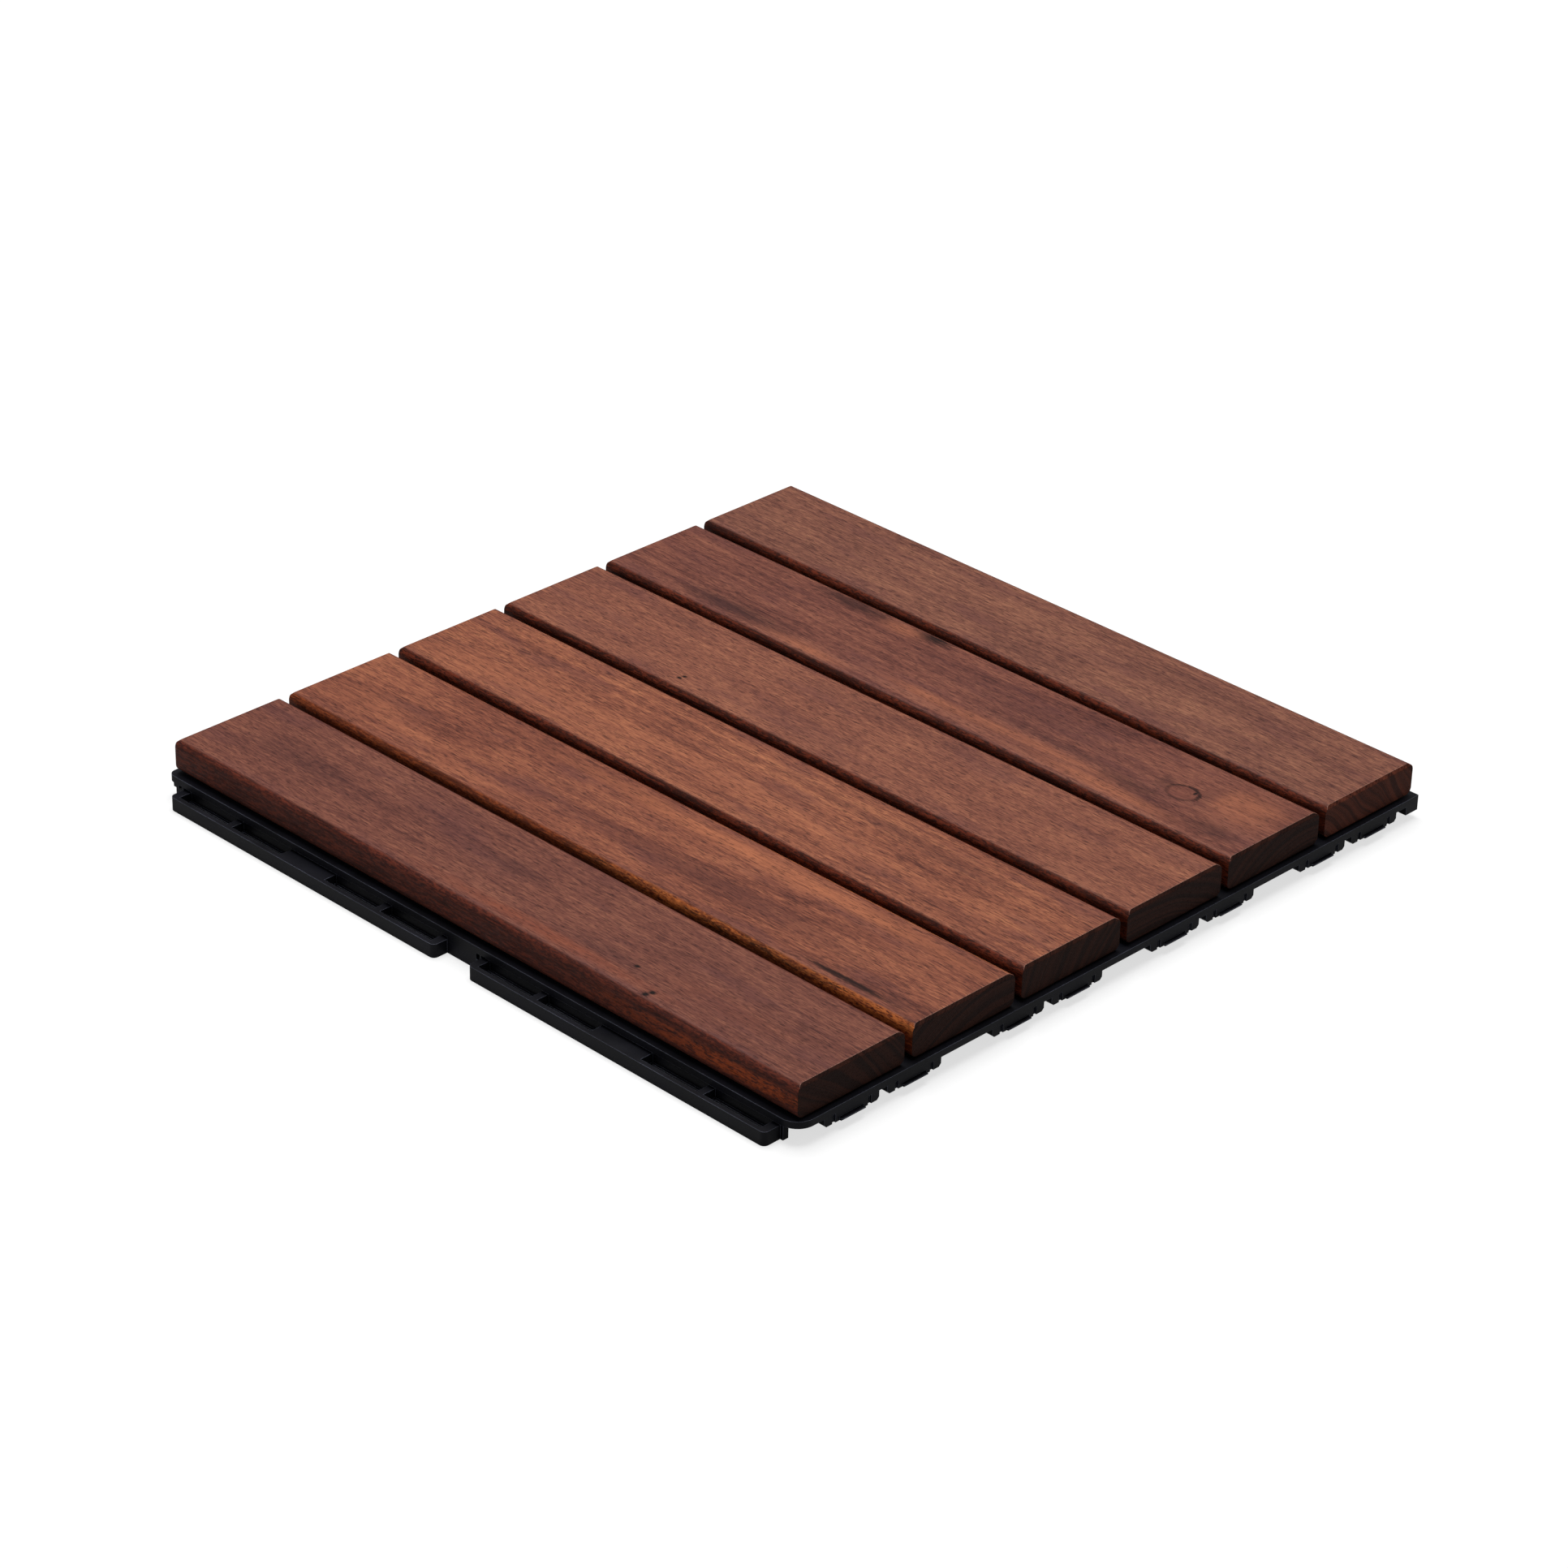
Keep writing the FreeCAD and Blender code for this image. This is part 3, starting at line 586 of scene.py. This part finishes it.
def screw_mesh(length):
    """One screw with its head's face at level 0 and its point up. The head is given as radius and level."""
    head = [(0.0006, 0.0), (0.0022, 0.0), (0.0028, 0.00012), (0.0032, 0.0004), (HEAD_RADIUS, 0.0009),
            (HEAD_RADIUS, HEAD_HEIGHT - 0.0003), (HEAD_RADIUS - 0.0002, HEAD_HEIGHT),
            (SHANK_RADIUS, HEAD_HEIGHT)]
    top = length - POINT_LENGTH
    shape = bmesh.new()
    rings = [ring_of_points(shape, radius, level) for radius, level in head]
    for row in range(1, SHANK_ROWS + 1):
        level = HEAD_HEIGHT + (top - HEAD_HEIGHT) * row / SHANK_ROWS
        rings.append(ring_of_points(shape, thread if row > PLAIN_ROWS else SHANK_RADIUS, level))
    rings.append(ring_of_points(shape, POINT_RADIUS, length))
    skin(shape, rings)
    shape.faces.new(rings[0])
    shape.faces.new(rings[-1])
    bmesh.ops.recalc_face_normals(shape, faces=shape.faces)
    return finished_mesh("screw", shape)


def cross_recess_mesh():
    """The tapered cross that the driver fits, from just outside the head's face down to its core."""
    mouth, bottom = (-0.0002, RECESS_REACH, 1), (RECESS_DEPTH, RECESS_CORE, RECESS_TAPER)
    shape = bmesh.new()
    for turn in (0, 90):
        spin = Matrix.Rotation(math.radians(turn), 3, "Z")
        corners = [(x * reach, y * RECESS_HALF_WIDTH * width, level)
                   for level, reach, width in (mouth, bottom)
                   for x, y in ((-1, -1), (1, -1), (1, 1), (-1, 1))]
        points = [shape.verts.new(spin @ Vector(corner)) for corner in corners]
        for face in ((0, 1, 2, 3), (7, 6, 5, 4), (0, 4, 5, 1), (1, 5, 6, 2), (2, 6, 7, 3), (3, 7, 4, 0)):
            shape.faces.new([points[index] for index in face])
    bmesh.ops.recalc_face_normals(shape, faces=shape.faces)
    return finished_mesh("cross_recess", shape)


def zinc_plate():
    """Bright zinc on steel: a little cloudy, with fine turning lines round the head."""
    finish, shader, start = new_finish("zinc_plated_steel")
    place = millimetres(start)
    clouds = lumps(place, (2.2, 2.2, 2.2), seed=41, detail=4, roughness=0.6)
    lines = lumps(place, (0.5, 0.5, 0.12), seed=43, detail=2, roughness=0.5)
    feed(shader, "Base Color", mix(ease(clouds, 0.3, 0.7), paint(168, 170, 172), paint(206, 206, 200)))
    feed(shader, "Roughness", clouds * 0.22 + lines * 0.1 + 0.2)
    feed(shader, "Normal", bump(lines + clouds * 0.6, strength=0.25, distance=0.02))
    shader.inputs["Metallic"].default_value = 1.0
    return finish


screws_low, screws_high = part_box("slat_screws")
screw = new_object("one_screw", screw_mesh(screws_high.z - screws_low.z))
punch = new_object("recess_punch", cross_recess_mesh())
sunk = screw.modifiers.new("recess", "BOOLEAN")
sunk.operation = "DIFFERENCE"
sunk.solver = "EXACT"
sunk.use_self = True
sunk.object = punch
kept_shape(screw)

# Each screw has stopped at a turn of its own.
all_screws = bmesh.new()
for number in SLATS:
    low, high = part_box(f"slat_{number}")
    for x in (screws_low.x + HEAD_RADIUS, screws_high.x - HEAD_RADIUS):
        one = screw.data.copy()
        spin = Matrix.Rotation(math.radians(37 * number + 1900 * x), 4, "Z")
        one.transform(Matrix.Translation((x, (low.y + high.y) / 2, screws_low.z)) @ spin)
        all_screws.from_mesh(one)
        bpy.data.meshes.remove(one)
bpy.data.objects.remove(screw)
bpy.data.objects.remove(punch)
screws = add_piece("fixing_screws", finished_mesh("fixing_screws", all_screws), "slat_screws", zinc_plate())
shade_flat(screws)


# Studio. The tile lies on a wide pale floor that shows white and keeps its shadow, under one broad soft lamp
# with a dimmer one from the side and a dim even surround. The camera looks down at it over the corner between
# the ladders and the snap blocks, from about a metre and a half away.

FLOOR_REACH = 40
BLACK = (0, 0, 0, 1)
WHITE = (1, 1, 1, 1)
FLOOR_GREYS = ((0.36, 0.36, 0.36, 1), (0.38, 0.38, 0.38, 1))
SURROUND_GREY = (0.16, 0.16, 0.16, 1)
GLOW_BY_THE_TILE = 0.68
GLOW_IN_GLOSS = 0.15
CAMERA_PLACE = Vector((0.9995, -1.0343, 0.8098))
CAMERA_AIM = Vector((-0.0025, -0.0025, 0.0085))
CAMERA_ROLL = math.radians(1.42)
CAMERA_LENS = 110
CAMERA_FILM = 36

floor_corners = [(x * FLOOR_REACH, y * FLOOR_REACH, 0) for x, y in ((-1, -1), (1, -1), (1, 1), (-1, 1))]
floor_mesh = bpy.data.meshes.new("floor")
floor_mesh.from_pydata(floor_corners, [], [(0, 1, 2, 3)])
floor = new_object("floor", floor_mesh)
floor_paint, floor_shader, start = new_finish("white_floor")
place = millimetres(start)
grain = lumps(place, (160, 160, 160), seed=51, detail=3, roughness=0.5)
feed(floor_shader, "Base Color", mix(grain, *FLOOR_GREYS))
floor_shader.inputs["Roughness"].default_value = 0.9
floor_shader.inputs["Specular IOR Level"].default_value = 0.1

# The floor's own light makes up for what it lacks to white, all of it far off, where no lamp reaches.
far_off = start.node("ShaderNodeVectorMath", {"operation": "LENGTH"}, {0: place}, "Value")
seen, in_gloss, through_glass = [start.node("ShaderNodeLightPath", output=ray)
                                 for ray in ("Is Camera Ray", "Is Glossy Ray", "Is Transmission Ray")]
seen = seen * ease(far_off, 500, 2500, GLOW_BY_THE_TILE, 1)
mirrored = in_gloss.maths("MAXIMUM", in_gloss, through_glass)
feed(floor_shader, "Emission Color", mix(seen + mirrored * GLOW_IN_GLOSS, BLACK, WHITE))
floor_shader.inputs["Emission Strength"].default_value = 1
floor_mesh.materials.append(floor_paint)


def soft_lamp(name, place, width, power):
    """A square soft box that points at the tile."""
    light = bpy.data.lights.new(name, "AREA")
    light.shape = "SQUARE"
    light.size = width
    light.energy = power
    lamp = new_object(name, light)
    lamp.location = place
    lamp.rotation_euler = (-Vector(place)).to_track_quat("-Z", "Y").to_euler()


soft_lamp("overhead_lamp", (-0.35, 0.3, 2.3), width=1.7, power=58)
soft_lamp("side_lamp", (-1.3, -2.0, 1.2), width=1.2, power=4.5)

surround = bpy.data.worlds.new("surround")
bpy.context.scene.world = surround
surround.use_nodes = True
sky = surround.node_tree.nodes["Background"]
seen = Value(surround.node_tree).node("ShaderNodeLightPath", output="Is Camera Ray")
feed(sky, "Color", mix(seen, SURROUND_GREY, WHITE))
sky.inputs["Strength"].default_value = 1

lens = bpy.data.cameras.new("camera")
lens.sensor_width = CAMERA_FILM
lens.lens = CAMERA_LENS
camera = new_object("camera", lens)
turn = (CAMERA_AIM - CAMERA_PLACE).to_track_quat("-Z", "Y").to_matrix().to_4x4()
camera.matrix_world = Matrix.Translation(CAMERA_PLACE) @ turn @ Matrix.Rotation(CAMERA_ROLL, 4, "Z")
bpy.context.scene.camera = camera
bpy.context.scene.view_settings.view_transform = "Standard"
